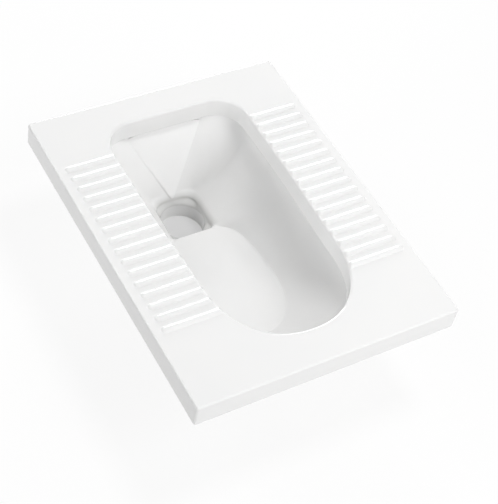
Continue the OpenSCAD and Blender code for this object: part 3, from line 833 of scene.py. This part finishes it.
def camera_like(tree):
    """1 for the rays that show the background: from the camera, and by gloss or transmission."""
    rays = tree.nodes.new("ShaderNodeLightPath")
    total = rays.outputs["Is Camera Ray"]
    for name in ("Is Glossy Ray", "Is Transmission Ray"):
        either = tree.nodes.new("ShaderNodeMath")
        either.operation = "MAXIMUM"
        tree.links.new(total, either.inputs[0])
        tree.links.new(rays.outputs[name], either.inputs[1])
        total = either.outputs[0]
    return total


def lit_white(name, pale, white):
    """A pale floor that takes shadow and bounces light. Seen directly it is lifted towards plain white, fully
    so in the distance. Under the outlet, where the open well shows it, it has painted shade: a grey colour
    and less lift."""
    n = Nodes(name)
    place = n.add("ShaderNodeTexCoord").outputs["Object"]
    axis = n.add("ShaderNodeVectorMath", {0: place, 1: WELL_AXIS}, operation="DISTANCE").outputs["Value"]
    # Painted shade: the ground under the outlet is grey.
    seen = n.blend(n.ranged(axis, *UNDER_END, 0, 1), OUTLET_PAINTED_SHADE, white)
    n.link(n.blend(camera_like(n.tree), pale, seen), "Base Color")
    n.shader.inputs["Roughness"].default_value = 1.0
    n.shader.inputs["Specular IOR Level"].default_value = 0.0
    glow = n.add("ShaderNodeEmission", {"Color": (1, 1, 1, 1), "Strength": 1.0})
    # Painted shade: under the outlet the ground is lifted less towards white.
    near = n.ranged(axis, *UNDER_END, UNDER_SHARE, WHITE_SHARE)
    lifted = n.math("MAXIMUM", near, n.ranged(axis, *FAR_WHITE, 0, 1))
    share = n.math("MULTIPLY", camera_like(n.tree), lifted)
    both = n.add("ShaderNodeMixShader", {0: share, 1: n.shader.outputs["BSDF"], 2: glow.outputs[0]})
    out = n.tree.nodes["Material Output"]
    n.tree.links.new(both.outputs[0], out.inputs["Surface"])
    return n.material


bpy.ops.mesh.primitive_plane_add(size=FLOOR_SIZE, location=(0, 0, -FLOOR_GAP))
floor = bpy.context.object
floor.name = "studio_floor"
floor.data.materials.append(lit_white("floor_white", FLOOR_PALE, FLOOR_WHITE))

scene = bpy.context.scene
scene.view_settings.view_transform = "Standard"
world = bpy.data.worlds.new("studio")
scene.world = world
world.use_nodes = True
tree = world.node_tree
background = tree.nodes["Background"]
background.inputs["Color"].default_value = (1, 1, 1, 1)
level = tree.nodes.new("ShaderNodeMapRange")
level.inputs["To Min"].default_value = WORLD_LIGHT
level.inputs["To Max"].default_value = WORLD_SEEN
tree.links.new(camera_like(tree), level.inputs["Value"])
tree.links.new(level.outputs["Result"], background.inputs["Strength"])


LAMP_SIZE, LAMP_DISTANCE = 1.1, 2.6
LIT_POINT = Vector((0, 0, 0.15))


def softbox(name, around, up, power_w, size=LAMP_SIZE, glossy=True):
    """A square area lamp that faces the object. It stands at degrees round from the front and up, and may be
    kept out of reflections."""
    around, up = math.radians(around), math.radians(up)
    direction = (math.sin(around) * math.cos(up), -math.cos(around) * math.cos(up), math.sin(up))
    lamp = bpy.data.lights.new(name, "AREA")
    lamp.shape, lamp.size, lamp.energy = "SQUARE", size, power_w
    obj = bpy.data.objects.new(name, lamp)
    scene.collection.objects.link(obj)
    away = Vector(direction).normalized()
    obj.location = LIT_POINT + away * LAMP_DISTANCE
    obj.rotation_mode = "QUATERNION"
    obj.rotation_quaternion = away.to_track_quat("Z", "Y")
    obj.visible_camera = False
    obj.visible_glossy = glossy


# Name, degrees round from the front, degrees up, watts
softbox("front_low", 0, 5, 29, glossy=False)
softbox("front", 24, 46, 24, glossy=False)
softbox("right", 90, 74, 25, size=0.6, glossy=False)
softbox("left_low", 270, 15, 19, glossy=False)
softbox("rear_right", 155, 18, 31)
softbox("rear_left", 225, 40, 13)

# The photograph's camera, fitted to the slab's outline: its place, what it looks at, its roll and its lens
CAMERA = Vector((-830.05, -1092.14, 1697.28)) * MM
AIM = Vector((-19.89, -73.07, 200.0)) * MM
ROLL = math.radians(12.594)
FOCAL_LENGTH, SENSOR_W = 95.189, 36.0
forward = (AIM - CAMERA).normalized()
right = forward.cross(Vector((0, 0, 1))).normalized()
up = right.cross(forward)
turned = right * math.cos(ROLL) + up * math.sin(ROLL)
upright = up * math.cos(ROLL) - right * math.sin(ROLL)
lens = bpy.data.cameras.new("camera")
lens.lens, lens.sensor_width, lens.sensor_fit = FOCAL_LENGTH, SENSOR_W, "AUTO"
lens.clip_start, lens.clip_end = 0.05, 50
camera = bpy.data.objects.new("camera", lens)
scene.collection.objects.link(camera)
rotation = Matrix((turned, upright, -forward)).transposed()
camera.matrix_world = Matrix.Translation(CAMERA) @ rotation.to_4x4()
scene.camera = camera
